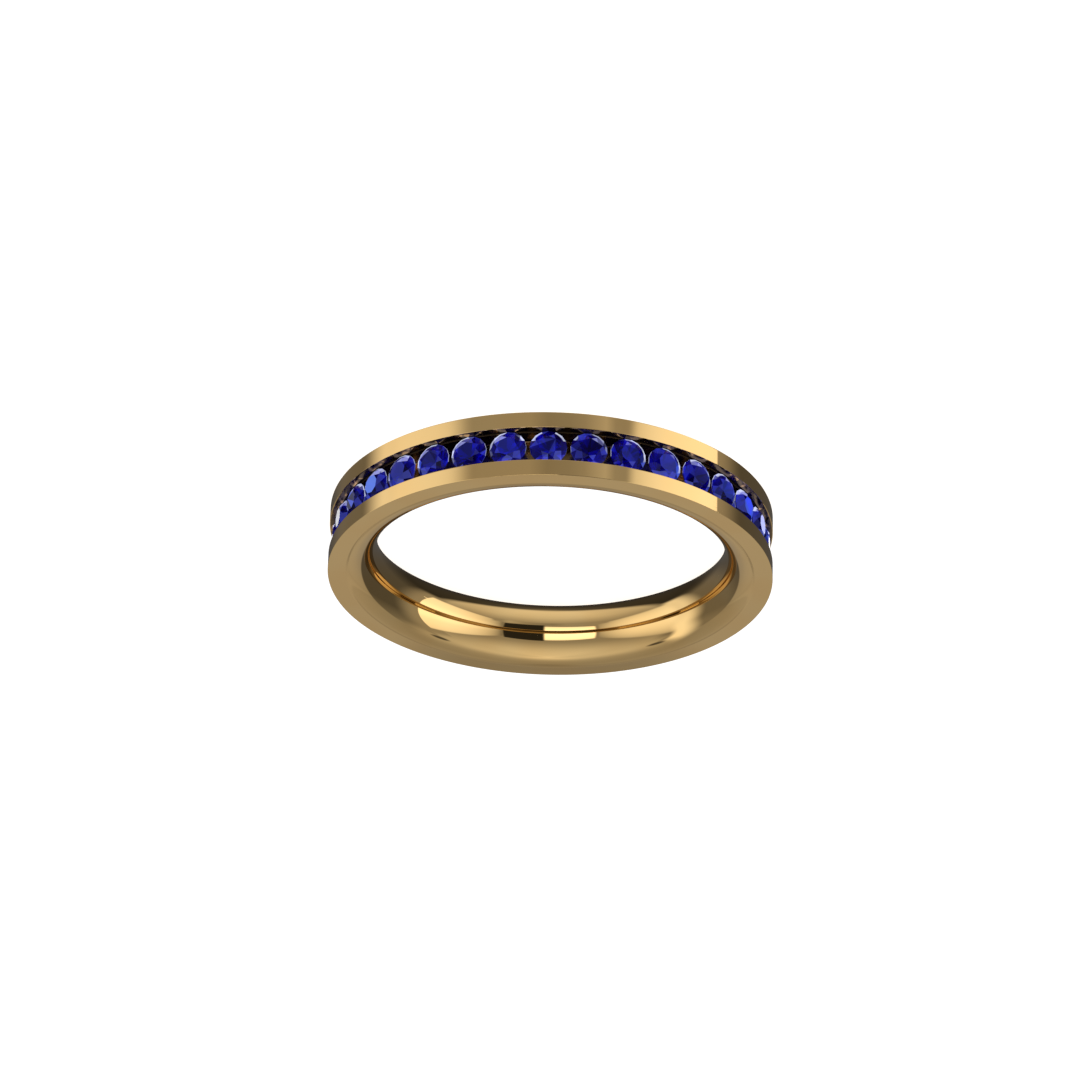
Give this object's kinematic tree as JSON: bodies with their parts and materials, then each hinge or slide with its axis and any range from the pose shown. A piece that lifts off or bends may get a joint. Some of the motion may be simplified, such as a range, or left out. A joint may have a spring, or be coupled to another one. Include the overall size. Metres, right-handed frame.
{
  "type": "channel-set gemstone ring",
  "caption": "Full eternity finger ring: flat-edged gold band with a domed inside, and a channel round its outside that holds round brilliant-cut blue sapphires.",
  "frame": {"origin": "centre of the finger hole, in the plane of the lower side face that the ring lies on", "axes": "+Z along the finger axis, up through the band's width; the first stone faces -Y"},
  "size_m": [0.0216, 0.0216, 0.0033],
  "materials": {
    "gold": "polished",
    "sapphire": "polished"
  },
  "bodies": {
    "root": {"band": "gold", "stone_01": "sapphire", "stone_02": "sapphire", "stone_03": "sapphire", "stone_04": "sapphire", "stone_05": "sapphire", "stone_06": "sapphire", "stone_07": "sapphire", "stone_08": "sapphire", "stone_09": "sapphire", "stone_10": "sapphire", "stone_11": "sapphire", "stone_12": "sapphire", "stone_13": "sapphire", "stone_14": "sapphire", "stone_15": "sapphire", "stone_16": "sapphire", "stone_17": "sapphire", "stone_18": "sapphire", "stone_19": "sapphire", "stone_20": "sapphire", "stone_21": "sapphire", "stone_22": "sapphire", "stone_23": "sapphire", "stone_24": "sapphire", "stone_25": "sapphire", "stone_26": "sapphire", "stone_27": "sapphire", "stone_28": "sapphire", "stone_29": "sapphire", "stone_30": "sapphire", "stone_31": "sapphire", "stone_32": "sapphire", "stone_33": "sapphire", "stone_34": "sapphire"}
  },
  "joints": []
}
